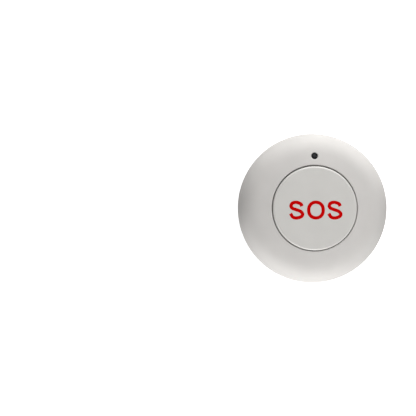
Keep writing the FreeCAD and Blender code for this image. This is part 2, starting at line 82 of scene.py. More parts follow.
def rounded(corners, radii, step=0.4 * MM):
    """Closed outline of (radius, height) points with each corner rounded by its radius.

    The arc's ends lie radius * tan(turn / 2) from the corner, and a point of it is the arc's centre plus
    radius times the direction, turned evenly. Straight runs are divided into parts no longer than step.
    """
    corners = np.array(corners, float)
    befores, afters = np.roll(corners, 1, 0), np.roll(corners, -1, 0)
    arcs = []
    for corner, before, after, radius in zip(corners, befores, afters, radii):
        into, out = (corner - before), (after - corner)
        into, out = into / np.linalg.norm(into), out / np.linalg.norm(out)
        turn = np.arctan2(into[0] * out[1] - into[1] * out[0], into @ out)
        if radius == 0 or abs(turn) < 1e-6:
            arcs.append(corner[None])
            continue
        side = np.sign(turn) * np.array([-into[1], into[0]])
        centre = corner - into * radius * tan(abs(turn) / 2) + side * radius
        angles = np.linspace(0, turn, max(int(abs(turn) / radians(6)), 3) + 1)[:, None]
        arm = -side * radius
        arcs.append(centre + np.cos(angles) * arm + np.sin(angles) * np.array([-arm[1], arm[0]]))
    line = []
    for arc, following in zip(arcs, arcs[1:] + arcs[:1]):
        count = max(int(np.linalg.norm(following[0] - arc[-1]) / step), 1)
        run = arc[-1] + (following[0] - arc[-1]) * np.linspace(0, 1, count + 1)[1:-1, None]
        line += [arc, run]
    return np.concatenate(line)


def turned(outline, count):
    """Grid of points of an outline turned about Z: x = r cos a, y = r sin a, z = height."""
    angles = np.linspace(0, 2 * pi, count, endpoint=False)
    r, z = outline[:, 0, None], outline[:, 1, None]
    return np.stack(np.broadcast_arrays(r * np.cos(angles), r * np.sin(angles), z), -1)


def quads(rows, columns, close_rows=False):
    """Corner numbers of the squares of a grid whose columns close round, as (rows, columns, 4)."""
    i = np.arange(rows if close_rows else rows - 1)[:, None]
    j = np.arange(columns)[None]
    i2, j2 = (i + 1) % rows, (j + 1) % columns
    return np.stack([i * columns + j, i * columns + j2, i2 * columns + j2, i2 * columns + j], -1)


def lathe(outline, count, close=False):
    """The sheet of an outline turned about Z, whose last point joins its first where close is set."""
    return turned(outline, count), quads(len(outline), count, close)


def piece(name, sheets, material, body, sharp=SHARP):
    """One mesh of several sheets, each a grid of points and the corner numbers of its squares."""
    points, faces, start = [], [], 0
    for grid, corners in sheets:
        grid = grid.reshape(-1, 3)
        points.append(grid)
        faces.append(corners.reshape(-1, 4) + start)
        start += len(grid)
    mesh = bpy.data.meshes.new(name)
    mesh.from_pydata(np.concatenate(points), [], np.concatenate(faces))
    return settle(name, mesh, material, body, sharp)


def settle(name, mesh, material, body, sharp, merge=1e-7):
    """The object of a mesh with its doubles merged and faces turned outwards, smooth between sharp edges."""
    work = bmesh.new()
    work.from_mesh(mesh)
    bmesh.ops.remove_doubles(work, verts=work.verts, dist=merge)
    bmesh.ops.dissolve_degenerate(work, edges=work.edges, dist=1e-8)
    bmesh.ops.recalc_face_normals(work, faces=work.faces)
    work.to_mesh(mesh)
    work.free()
    mesh.polygons.foreach_set("use_smooth", np.ones(len(mesh.polygons), bool))
    mesh.set_sharp_from_angle(angle=radians(sharp))
    mesh.materials.clear()
    mesh.materials.append(material)
    made = bpy.data.objects.new(name, mesh)
    bpy.context.scene.collection.objects.link(made)
    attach(made, body)
    return made


def softened(node, name, material, body, width):
    """A CAD node's mesh with its doubles merged, its flats made whole and its edges rounded by width."""
    mesh = frame["nodes"][node].data.copy()
    merge = 1e-6
    work = bmesh.new()
    work.from_mesh(mesh)
    bmesh.ops.remove_doubles(work, verts=work.verts, dist=merge)
    bmesh.ops.dissolve_limit(work, angle_limit=radians(0.4), verts=work.verts, edges=work.edges)
    work.to_mesh(mesh)
    work.free()
    made = settle(name, mesh, material, body, SHARP, merge)
    bevel = made.modifiers.new("rounded edges", "BEVEL")
    bevel.width, bevel.segments = width, 2
    bevel.limit_method, bevel.angle_limit = "ANGLE", radians(SHARP)
    bevel.harden_normals = True
    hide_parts(node)


def bars(inner, outer, width, low, high, angles):
    """Upright square-sided bars that run outwards from the axis, one at each angle.

    Each is a rectangle carried from low to high, shrunk to its middle at both ends to close it, and turned.
    """
    half = width / 2
    ring = np.array([(inner, -half), (outer, -half), (outer, half), (inner, half)])
    middle = ring.mean(0)
    sheets = []
    for angle in angles:
        turn = np.array([(cos(angle), sin(angle)), (-sin(angle), cos(angle))])
        rows = [(middle + (ring - middle) * s, z) for s, z in ((0, low), (1, low), (1, high), (0, high))]
        grid = np.stack([np.column_stack([flat @ turn, np.full(4, z)]) for flat, z in rows])
        sheets.append((grid, quads(4, 4)))
    return sheets


def shifted(sheet, x, y):
    """The sheet with x and y added to its points."""
    return sheet[0] + np.array([x, y, 0]), sheet[1]


# Materials


class Paint:
    """A node material in which one finish is put together; object coordinates are in metres."""

    def __init__(self, name):
        self.material = bpy.data.materials.new(name)
        self.material.use_nodes = True
        self.tree = self.material.node_tree
        self.shader = self.tree.nodes["Principled BSDF"]
        self.place = self.tree.nodes.new("ShaderNodeTexCoord").outputs["Object"]

    def node(self, kind, **values):
        """A shader node whose sockets, or else settings, get the given values."""
        made = self.tree.nodes.new("ShaderNode" + kind)
        for key, value in values.items():
            if key in made.inputs:
                self.feed(made.inputs[key], value)
            else:
                setattr(made, key, value)
        return made

    def feed(self, socket, value):
        """Links another node's output to the socket, or sets a plain value on it."""
        if isinstance(value, bpy.types.NodeSocket):
            self.tree.links.new(value, socket)
        else:
            socket.default_value = value

    def stretched(self, scale, move=(0, 0, 0), turn=(0, 0, 0)):
        """Object coordinates, scaled, turned and moved."""
        mapping = self.node("Mapping", Vector=self.place)
        mapping.inputs["Location"].default_value = move
        mapping.inputs["Rotation"].default_value = turn
        mapping.inputs["Scale"].default_value = scale
        return mapping.outputs["Vector"]

    def off_axis(self, y=0.0):
        """Distance from an upright line that stands y from the button's axis, towards the window."""
        length = self.node("VectorMath", operation="LENGTH")
        self.feed(length.inputs[0], self.stretched((1, 1, 0), (0, -y, 0)))
        return length.outputs["Value"]

    def noise(self, size, detail=3.0, roughness=0.5, place=None):
        """Cloudy values from 0 to 1 with features of about size metres."""
        made = self.node("TexNoise", Vector=place or self.place, Scale=1 / size, Detail=detail)
        made.inputs["Roughness"].default_value = roughness
        return made.outputs["Fac"]

    def ramp(self, value, low, high, to_low=0.0, to_high=1.0):
        """The value from low to high as one from to_low to to_high, held at both ends."""
        made = self.node("MapRange", Value=value)
        for key, number in zip(("From Min", "From Max", "To Min", "To Max"), (low, high, to_low, to_high)):
            self.feed(made.inputs[key], number)
        return made.outputs["Result"]

    def maths(self, operation, first, second):
        """A plain sum, product or the like of two values."""
        made = self.node("Math", operation=operation)
        self.feed(made.inputs[0], first)
        self.feed(made.inputs[1], second)
        return made.outputs["Value"]

    def blend(self, share, first, second):
        """The first colour where share is 0, the second where it is 1."""
        made = self.node("Mix", data_type="RGBA", blend_type="MIX")
        self.feed(made.inputs[0], share)
        # A Mix node's sockets 6 and 7 and its output 2 are those for colours.
        for socket, colour in ((made.inputs[6], first), (made.inputs[7], second)):
            self.feed(socket, colour if isinstance(colour, bpy.types.NodeSocket) else (*colour, 1.0))
        return made.outputs[2]

    def bump(self, height, depth, strength, below=None):
        """A normal for a height of up to depth metres, on top of the normal below."""
        made = self.node("Bump", Height=height, Distance=depth, Strength=strength)
        if below:
            self.feed(made.inputs["Normal"], below)
        return made.outputs["Normal"]

    def finish(self, colour, roughness, normal, **constants):
        """The material with its shader fed; constants name sockets, with _ for a space."""
        self.feed(self.shader.inputs["Base Color"], colour)
        self.feed(self.shader.inputs["Roughness"], roughness)
        self.feed(self.shader.inputs["Normal"], normal)
        for key, value in constants.items():
            self.shader.inputs[key.replace("_", " ")].default_value = value
        return self.material


def shaded(colour, factor):
    """A colour made paler or deeper by a factor."""
    return tuple(min(c * factor, 1) for c in colour)


def moulded_plastic(name, colour, rough=0.78, grain=0.16 * MM, grain_depth=0.006 * MM, scuffs=0.0,
                    smooth_from=None):
    """Matt moulding: slow drift of colour and gloss, spark-eroded grain, specks and, if asked, scuffs.

    Outside the radius smooth_from, where fingers polish an edge, it is glossier.
    """
    polish, polish_width, ripple_depth = 0.34, 0.2 * MM, 0.004 * MM
    paint = Paint(name)
    drift = paint.noise(9 * MM, 2.0)
    shade = paint.blend(paint.ramp(drift, *MIDDLE), shaded(colour, 0.975), shaded(colour, 1.018))
    specks = paint.ramp(paint.noise(0.22 * MM, 1.0), 0.70, 0.80, 0.0, 0.35)
    shade = paint.blend(specks, shade, shaded(colour, 0.80))
    gloss = paint.ramp(paint.noise(4 * MM, 4.0), 0.25, 0.75, rough - 0.05, rough + 0.05)
    if smooth_from:
        edge = paint.ramp(paint.off_axis(), smooth_from, smooth_from + polish_width, 0.0, polish)
        gloss = paint.maths("SUBTRACT", gloss, edge)
    normal = paint.bump(paint.noise(grain, 2.0, 0.6), grain_depth, 0.6)
    normal = paint.bump(paint.noise(2.5 * MM, 1.0), ripple_depth, 0.5, normal)
    if scuffs:
        lines = paint.noise(0.3 * MM, 2.0, 0.6, paint.stretched((1, 0.04, 1), turn=(0, 0, 0.7)))
        worn = paint.ramp(drift, 0.42, 0.62, 0.0, scuffs)
        rubbed = paint.maths("MULTIPLY", paint.ramp(lines, 0.6, 0.72), worn)
        shade = paint.blend(rubbed, shade, shaded(colour, 1.18))
        gloss = paint.maths("ADD", gloss, paint.maths("MULTIPLY", rubbed, 0.15))
    return paint.finish(shade, gloss, normal, IOR=1.49)


def printed_ink():
    """Pad-printed red: slightly uneven cover, a soft gloss and the print screen's faint texture."""
    paint = Paint("red print")
    cover = paint.ramp(paint.noise(0.5 * MM, 4.0, 0.6), *MIDDLE)
    shade = paint.blend(cover, (0.50, 0.0, 0.0), (0.58, 0.0, 0.0))
    gloss = paint.ramp(paint.noise(1.2 * MM, 2.0), *MIDDLE, 0.78, 0.88)
    normal = paint.bump(paint.noise(0.12 * MM, 2.0), 0.003 * MM, 0.5)
    return paint.finish(shade, gloss, normal, Specular_IOR_Level=0.03)


def smoked_window():
    """Dark polished resin with a painted glow: its colour is paler in the middle, over the diode."""
    paint = Paint("smoked window resin")
    # Painted glow: the base colour is made paler towards the window's middle, with a little cloudiness in it.
    painted_glow = paint.ramp(paint.off_axis(WINDOW_Y), 0.15 * MM, 0.95 * MM, 1.0, 0.0)
    cloud = paint.ramp(paint.noise(0.5 * MM, 2.0), *MIDDLE, 0.85, 1.0)
    painted_glow = paint.maths("MULTIPLY", painted_glow, cloud)
    shade = paint.blend(painted_glow, (0.004, 0.005, 0.006), (0.030, 0.032, 0.036))
    gloss = paint.ramp(paint.noise(0.4 * MM, 3.0), *MIDDLE, 0.12, 0.20)
    normal = paint.bump(paint.noise(0.8 * MM, 1.0), 0.004 * MM, 0.3)
    return paint.finish(shade, gloss, normal, Specular_IOR_Level=0.08)


def metal(name, colour, rough, brushed=(1, 1, 1)):
    """Plain metal: tarnish in slow clouds and fine lines along the axis that brushed squeezes least."""
    paint = Paint(name)
    tarnish = paint.ramp(paint.noise(3 * MM, 4.0), 0.3, 0.75)
    shade = paint.blend(tarnish, colour, shaded(colour, 0.82))
    lines = paint.noise(0.08 * MM, 3.0, 0.6, paint.stretched(brushed))
    gloss = paint.ramp(lines, *MOST, rough - 0.07, rough + 0.10)
    return paint.finish(shade, gloss, paint.bump(lines, 0.002 * MM, 0.5), Metallic=1.0)


def board_mask():
    """Solder mask over copper: square-cornered tracks stand out a little and look paler, with tinned vias.

    The tracks are bands of equal distance from scattered vias, where distance is the larger of the two
    offsets.
    """
    via_spacing, tracks_per_cell = 5.5 * MM, 7.0
    paint = Paint("green solder mask")
    vias = paint.node("TexVoronoi", Vector=paint.stretched((1, 1, 0)), Scale=1 / via_spacing,
                      distance="CHEBYCHEV", Randomness=0.85)
    away = vias.outputs["Distance"]
    bands = paint.maths("PINGPONG", paint.maths("MULTIPLY", away, tracks_per_cell), 0.5)
    tracks = paint.ramp(bands, 0.33, 0.37, 0.0, 1.0)
    tinned = paint.ramp(away, 0.045, 0.055, 1.0, 0.0)
    weave = paint.noise(0.5 * MM, 2.0)
    shade = paint.blend(weave, (0.010, 0.095, 0.036), (0.014, 0.125, 0.048))
    shade = paint.blend(tracks, shade, (0.024, 0.17, 0.070))
    shade = paint.blend(tinned, shade, (0.52, 0.50, 0.44))
    gloss = paint.ramp(weave, *MOST, 0.24, 0.34)
    return paint.finish(shade, gloss, paint.bump(tracks, 0.03 * MM, 0.6), IOR=1.52)


def dark_moulding():
    """Filled black resin with a matt, slightly pitted surface."""
    paint = Paint("black filled resin")
    pits = paint.noise(0.10 * MM, 3.0, 0.65)
    shade = paint.blend(paint.ramp(pits, *MIDDLE), (0.014, 0.014, 0.015), (0.030, 0.030, 0.032))
    gloss = paint.ramp(pits, *MOST, 0.45, 0.62)
    return paint.finish(shade, gloss, paint.bump(pits, 0.008 * MM, 0.6), IOR=1.5)


def ceramic():
    """Fired tan ceramic, mottled in colour and gloss by its fine grain."""
    paint = Paint("fired ceramic")
    grain = paint.noise(0.15 * MM, 3.0)
    shade = paint.blend(grain, (0.36, 0.23, 0.13), (0.48, 0.33, 0.20))
    gloss = paint.ramp(grain, *MOST, 0.38, 0.52)
    return paint.finish(shade, gloss, paint.bump(grain, 0.005 * MM, 0.5), IOR=1.6)


def diode_resin():
    """Milky resin of the indicator diode, yellower where the phosphor sits."""
    paint = Paint("milky diode resin")
    cloud = paint.noise(0.3 * MM, 2.0)
    shade = paint.blend(cloud, (0.78, 0.76, 0.62), (0.86, 0.85, 0.80))
    gloss = paint.ramp(cloud, *MOST, 0.16, 0.26)
    return paint.finish(shade, gloss, paint.bump(cloud, 0.004 * MM, 0.4), IOR=1.5)


SHELL_GREY, CAP_GREY = (0.592, 0.574, 0.554), (0.600, 0.588, 0.563)
shell_plastic = moulded_plastic("warm grey shell plastic", SHELL_GREY)
cap_plastic = moulded_plastic("warm grey cap plastic", CAP_GREY, rough=0.80, smooth_from=CAP_R - CAP_EDGE_R)
back_plastic = moulded_plastic("warm grey back plastic", SHELL_GREY, rough=0.74, grain=0.28 * MM,
                               grain_depth=0.016 * MM, scuffs=0.5)
FINISHES = {
    "board_laminate": board_mask(),
    "black_moulding": dark_moulding(),
    "spring_steel": metal("drawn spring wire", (0.55, 0.56, 0.57), 0.30),
    "nickel_plate": metal("nickel plate", (0.66, 0.64, 0.60), 0.28, (1, 0.1, 1)),
    "solder_tin": metal("tinned leads", (0.72, 0.72, 0.72), 0.35),
    "cell_steel": metal("brushed cell can", (0.62, 0.62, 0.62), 0.32, (0.03, 1, 1)),
    "screw_steel": metal("zinc plated screw", (0.56, 0.57, 0.58), 0.34),
    "led_resin": diode_resin(),
    "capacitor_ceramic": ceramic(),
    "smoked_lens": smoked_window(),
    "housing_plastic": shell_plastic,
    "cap_plastic": cap_plastic,
}


# Front shell


def line_height(r, slope, r0, z0):
    """Height at radius r of a straight run that passes (r0, z0) and falls by slope."""
    return z0 - (r - r0) * tan(slope)


def eased(line, reach):
    """A line's points moved to the mean of the line within reach of them, so that its bend sets in slowly."""
    length = np.concatenate([[0], np.cumsum(np.linalg.norm(np.diff(line, axis=0), axis=1))])
    room = np.minimum(reach, np.minimum(length, length[-1] - length))
    places = length[:, None] + room[:, None] * np.linspace(-1, 1, 21)
    return np.stack([np.interp(places, length, column).mean(1) for column in line.T], -1)


def meeting(r_a, z_a, slope_a, r_b, z_b, slope_b):
    """Where two straight runs of a turned outline cross, each given by a point and a slope."""
    r = (z_a + r_a * tan(slope_a) - z_b - r_b * tan(slope_b)) / (tan(slope_a) - tan(slope_b))
    return r, line_height(r, slope_a, r_a, z_a)


def shell_outline():
    """Closed outline of the front shell: bore, lip, crown, shoulder, skirt, and the wall inside them."""
    lip_in = leaning((HOLE_R, LIP_Z), CROWN_SLOPE, -WALL)
    foot_in = leaning((BODY_R, PARTING_Z), SKIRT_SLOPE, -WALL)
    foot_r = foot_in[0] - (PARTING_Z - foot_in[1]) / tan(SKIRT_SLOPE)
    shoulder = meeting(HOLE_R, LIP_Z, CROWN_SLOPE, BODY_R, PARTING_Z, SKIRT_SLOPE)
    shoulder_in = meeting(*lip_in, CROWN_SLOPE, *foot_in, SKIRT_SLOPE)
    guide_root = (GUIDE_R, line_height(GUIDE_R, CROWN_SLOPE, *lip_in))
    corners = [((HOLE_R, GUIDE_Z), 0.15 * MM), ((HOLE_R, LIP_Z), 0.32 * MM), (shoulder, SHOULDER_R),
               ((BODY_R, PARTING_Z), 0.18 * MM), ((foot_r, PARTING_Z), 0.1 * MM),
               (shoulder_in, SHOULDER_R - WALL), (guide_root, 0.4 * MM), ((GUIDE_R, GUIDE_Z), 0.15 * MM)]
    outline = rounded(*zip(*corners))
    clear = 0.5 * MM  # keeps out the lip's and the foot's own rounding
    bend = (outline[:, 0] > HOLE_R + clear) & (outline[:, 1] > PARTING_Z + clear)
    bend &= np.arange(len(outline)) < np.argmax(outline[:, 0])
    outline[bend] = eased(outline[bend], SHOULDER_EASE)
    return outline


def rim_of(grid, row, column, rows, columns):
    """Places in the plane of the points round a rectangle of a grid, from its first row and column on."""
    r, c = row + np.arange(rows + 1), column + np.arange(columns + 1)
    sides = [grid[row, c[:-1]], grid[r[:-1], c[-1]], grid[row + rows, c[:0:-1]], grid[r[:0:-1], column]]
    return np.concatenate(sides)[:, :2]


def height_on(run, points):
    """Heights of a run of the turned outline at the points' distances from the axis."""
    return np.interp(np.hypot(points[..., 0], points[..., 1]), *run.T)


def nested(start, end, count, run):
    """Rings that go from the start to the end in even shares, each point at the run's height there."""
    flat = start + (end - start) * np.linspace(0, 1, count)[:, None, None]
    return np.concatenate([flat, height_on(run, flat)[..., None]], -1)


def window_rings(edge, crown, edge_in, ceiling):
    """Rings from a patch's edge in the crown to the round hole, down its bore and out to the inner edge.

    The hole's points lie its radius from its middle, each in the direction of its point of the edge. The
    bevel's lower edge keeps the same depth below the crown all round.
    """
    middle = np.array([0, WINDOW_Y])
    towards, towards_in = edge - middle, edge_in - middle
    towards /= np.linalg.norm(towards, axis=1)[:, None]
    towards_in /= np.linalg.norm(towards_in, axis=1)[:, None]
    bore, bore_in = middle + towards * BORE_R, middle + towards_in * BORE_R
    below_bevel = np.column_stack([bore, height_on(crown, bore) - BEVEL])
    return np.concatenate([nested(edge, middle + towards * (BORE_R + BEVEL), 9, crown), below_bevel[None],
                           nested(bore_in, edge_in, 7, ceiling)])


def screw_bosses(crown):
    """Bored posts over the screws, turned from a rectangle and cut off halfway through the crown's wall."""
    post = rounded([(BOSS_BORE_R, BOSS_LOW_Z), (BOSS_R, BOSS_LOW_Z), (BOSS_R, LIP_Z), (BOSS_BORE_R, LIP_Z)],
                   [0, 0.1 * MM, 0, 0], 4 * MM)
    bosses = []
    for radius, angle in SCREWS:
        points, corners = shifted(lathe(post, 48, close=True), radius * cos(angle), radius * sin(angle))
        points[..., 2] = np.minimum(points[..., 2], height_on(crown, points) - WALL / 2)
        bosses.append((points, corners))
    return bosses


def make_front_shell():
    """The turned shell with screw bosses, board ribs and a round window.

    At the window a rectangle of squares is left out of the crown and another of its underside, and the
    window's rings join their edges.
    """
    around, columns, spare = 360, 16, 3
    patch_near, patch_far = 18.35 * MM, 23.1 * MM
    under_near, under_far, under_low_z = 18.6 * MM, 23.3 * MM, 12.0 * MM
    outline = shell_outline()
    grid = turned(outline, around)
    outer_end = int(np.argmax(outline[:, 0]))
    first = int(np.argmax(outline[:outer_end, 0] > patch_near))
    under = (outline[:, 0] < under_far) & (outline[:, 1] > under_low_z)
    under_first = int(np.argmax(under & (np.arange(len(outline)) > outer_end)))
    rows = min(int(np.argmax(outline[first:outer_end, 0] > patch_far)),
               int(np.argmax(outline[under_first:, 0] < under_near)))
    column = around // 4 - columns // 2
    keep = np.ones((len(outline), around), bool)
    for row in (first, under_first):
        keep[row:row + rows, column:column + columns] = False
    faces = quads(len(outline), around, close_rows=True)[keep]

    crown = outline[first - spare:outer_end]
    ceiling = outline[under_first - spare:under_first + rows + spare][::-1]
    edge = rim_of(grid, first, column, rows, columns)
    edge_in = rim_of(grid[::-1], len(outline) - 1 - under_first - rows, column, rows, columns)
    window = window_rings(edge, crown, edge_in, ceiling)
    sheets = [(grid, faces), (window, quads(*window.shape[:2]))] + screw_bosses(crown)
    rib_in, rib_out, rib_t, rib_high = 20.5 * MM, 24.5 * MM, 1.2 * MM, 14.0 * MM
    sheets += bars(rib_in, rib_out, rib_t, BOARD_Z, rib_high, (0, pi))
    made = piece("front_shell_moulding", sheets, shell_plastic, "housing", sharp=28.0)
    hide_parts("front_shell")


# Push cap and its print


def cap_height(r):
    """Height of the cap's crown, a sphere's, at a distance from the axis."""
    return CAP_TOP_Z - CAP_DOME_R + np.sqrt(CAP_DOME_R ** 2 - r ** 2)


def make_push_cap():
    """The cap: a shallow sphere rolled over by the edge radius into its skirt, with flange, ribs and keys.

    It rests a little off the axis, within its play, which makes the gap round it wider on one side.
    """
    rim_r = CAP_R - CAP_EDGE_R
    lean = np.arcsin(rim_r / (CAP_DOME_R - CAP_EDGE_R))
    rim_z = CAP_TOP_Z - CAP_DOME_R + sqrt((CAP_DOME_R - CAP_EDGE_R) ** 2 - rim_r ** 2)
    crown_r = np.linspace(0, rim_r + CAP_EDGE_R * sin(lean), 40)
    crown = np.column_stack([crown_r, cap_height(crown_r)])
    slopes = np.linspace(lean, pi / 2, 14)[1:]
    edge = np.column_stack([rim_r + CAP_EDGE_R * np.sin(slopes), rim_z + CAP_EDGE_R * np.cos(slopes)])
    cut, fillet = 0.1 * MM, 0.3 * MM
    under = np.array([(CAP_R, FLANGE_Z + cut), (CAP_R + cut, FLANGE_Z), (FLANGE_R - cut, FLANGE_Z),
                      (FLANGE_R, FLANGE_Z - cut), (FLANGE_R, CAP_LOW_Z), (CAP_SKIRT_R, CAP_LOW_Z),
                      (CAP_SKIRT_R, PLATE_Z - fillet), (CAP_SKIRT_R - fillet, PLATE_Z),
                      (PLUNGER_R, PLATE_Z), (PLUNGER_R, PLUNGER_Z), (0, PLUNGER_Z)])
    outline = np.concatenate([crown, edge, under])
    rib_in, rib_out, rib_t, rib_low, rib_high = 5.7 * MM, 16.0 * MM, 1.0 * MM, 14.6 * MM, 16.8 * MM
    key_in, key_out, key_t, key_high = 16.0 * MM, 17.8 * MM, 2.4 * MM, 13.8 * MM
    sheets = [lathe(outline, 288)]
    sheets += bars(rib_in, rib_out, rib_t, rib_low, rib_high, np.arange(6) * pi / 3)
    sheets += bars(key_in, key_out, key_t, CAP_LOW_Z, key_high, radians(30) + np.arange(3) * 2 * pi / 3)
    sheets = [shifted(sheet, *CAP_PLAY) for sheet in sheets]
    made = piece("push_cap_moulding", sheets, cap_plastic, "cap")
    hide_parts("button_cap")


def smooth_path(stops, steps=10):
    """A smooth line through stops: between two of them a cubic whose slopes come from their neighbours."""
    p = np.array(stops, float)
    p = np.concatenate([2 * p[:1] - p[1:2], p, 2 * p[-1:] - p[-2:-1]])
    t = np.linspace(0, 1, steps, endpoint=False)[None, :, None]
    a, b, c, d = (p[k:len(p) - 3 + k, None] for k in range(4))
    slope, bend, twist = c - a, 2 * a - 5 * b + 4 * c - d, 3 * b - a - 3 * c + d
    line = 0.5 * (2 * b + slope * t + bend * t ** 2 + twist * t ** 3)
    return np.concatenate([line.reshape(-1, 2), p[-2:-1]])


def stroke(line, closed):
    """A printed stroke: its line plus and minus half its width along the normal, a film above the crown.

    The width runs between the thin one, where the line is level, and the wide one, where it is upright.
    """
    if closed:
        ahead = np.roll(line, -1, 0) - np.roll(line, 1, 0)
    else:
        ahead = np.gradient(line, axis=0)
    ahead /= np.linalg.norm(ahead, axis=1)[:, None]
    across = np.column_stack([-ahead[:, 1], ahead[:, 0]])
    half = (STROKE_THIN + (STROKE_WIDE - STROKE_THIN) * np.abs(ahead[:, 1:])) / 2
    # The film's section: places across it, and heights above the crown with the last three inside the cap
    places = np.array([-1, -0.97, -0.5, 0, 0.5, 0.97, 1, 1, 0, -1])
    lifts = np.array([0.4, 1, 1, 1, 1, 1, 0.4, -2, -2, -2]) * INK_T
    flat = line[:, None] + across[:, None] * half[:, None] * places[None, :, None]
    height = cap_height(np.hypot(flat[..., 0], flat[..., 1])) + lifts
    grid = np.concatenate([flat, height[..., None]], -1)
    if not closed:
        ends = [end.mean(1, keepdims=True).repeat(len(places), 1) for end in (grid[:1], grid[-1:])]
        grid = np.concatenate([ends[0], grid, ends[1]])
    return grid, quads(*grid.shape[:2], close_rows=closed)


def make_legend():
    """The red distress letters, drawn as plain strokes of almost even width, in millimetres.

    The oval is a circle pushed out to where the sum of its offsets' powers is one, times its half sizes.
    """
    double_bend = smooth_path([(2.05, 1.5), (1.6, 2.45), (-0.15, 3.05), (-1.65, 2.7), (-2.2, 1.65),
                               (-1.7, 0.75), (-0.15, 0.15), (1.5, -0.5), (2.35, -1.55), (1.75, -2.6),
                               (0.0, -3.1), (-1.5, -2.7), (-2.4, -1.35)])
    power, half_wide, half_high = 2.15, 2.85, 3.08
    turns = np.linspace(0, 2 * pi, 72, endpoint=False)
    oval = np.column_stack([np.cos(turns), np.sin(turns)])
    oval *= (np.abs(oval) ** power).sum(1)[:, None] ** (-1 / power) * (half_wide, half_high)
    middle_y = -0.74
    letters = [(double_bend, -7.18, False), (oval, 0.40, True), (double_bend, 7.84, False)]
    sheets = [stroke((line + (x, middle_y)) * MM, closed) for line, x, closed in letters]
    piece("legend_print", sheets, printed_ink(), "cap")


def make_window():
    """The window's light pipe: a foot, a stem and a polished face that falls with the radius squared."""
    low, high = (corner[2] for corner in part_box("light_pipe"))
    under_crown = line_height(WINDOW_Y, CROWN_SLOPE, HOLE_R, LIP_Z) - WALL / cos(CROWN_SLOPE)
    seat = under_crown - WINDOW_FOOT_T
    cut, fall = 0.1 * MM, 0.12 * MM
    face_r = np.linspace(0, WINDOW_R - cut, 10)
    face = np.column_stack([face_r, high - fall * (face_r / WINDOW_R) ** 2])
    stem = np.array([(WINDOW_R, face[-1, 1] - cut), (WINDOW_R, seat), (WINDOW_FOOT_R, seat),
                     (WINDOW_FOOT_R, low), (0, low)])
    outline = np.concatenate([face, stem])
    sheet = shifted(lathe(outline, 64), 0, WINDOW_Y)
    made = piece("indicator_window", [sheet], FINISHES["smoked_lens"], "housing", sharp=40.0)
    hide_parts("light_pipe")


# Spring, snap disc and screws


def make_coil():
    """A round wire whose middle runs round the axis as it rises, with closed, almost flat end turns.

    Along the wire's share u the rise is a small even one plus a smooth step between the end turns.
    """
    low, high = (corner[2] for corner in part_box("return_spring"))
    wire, radius, turns = 0.25 * MM, 5.2 * MM, 3.5
    end_share, even_rise = 0.12, 0.08
    u = np.linspace(0, 1, 169)
    step = np.clip((u - end_share) / (1 - 2 * end_share), 0, 1)
    step = even_rise * u + (1 - even_rise) * (3 * step ** 2 - 2 * step ** 3)
    rise = np.clip(low + wire + (high - low - 2 * wire) * step, low + wire, high - wire)
    angle = 2 * pi * turns * u
    out = np.column_stack([np.cos(angle), np.sin(angle), 0 * u])
    middle = out * radius + np.column_stack([0 * u, 0 * u, rise])
    roll = np.linspace(0, 2 * pi, 12, endpoint=False)[None, :, None]
    around = out[:, None] * np.cos(roll) + np.array([0, 0, 1]) * np.sin(roll)
    middle = np.concatenate([middle[:1], middle, middle[-1:]])
    around = np.concatenate([around[:1] * 0, around, around[-1:] * 0])
    sheet = (middle[:, None] + around * wire, quads(*around.shape[:2]))
    made = piece("return_coil", [sheet], FINISHES["spring_steel"], "housing")
    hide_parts("return_spring")
    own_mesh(made)


def make_snap_disc():
    """The switch's thin disc: its height falls from the middle to the rim as half a cosine wave."""
    (_, _, low), (rim, _, high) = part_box("switch_dome")
    thick = 0.12 * MM
    r = np.linspace(0, rim, 24)
    rise = low + (high - low - thick) * (0.5 + 0.5 * np.cos(pi * r / rim))
    outline = np.concatenate([np.column_stack([r, rise + thick]), np.column_stack([r, rise])[::-1]])
    made = piece("snap_disc", [lathe(outline, 64)], FINISHES["spring_steel"], "housing",
                 sharp=60.0)
    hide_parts("switch_dome")
    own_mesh(made)


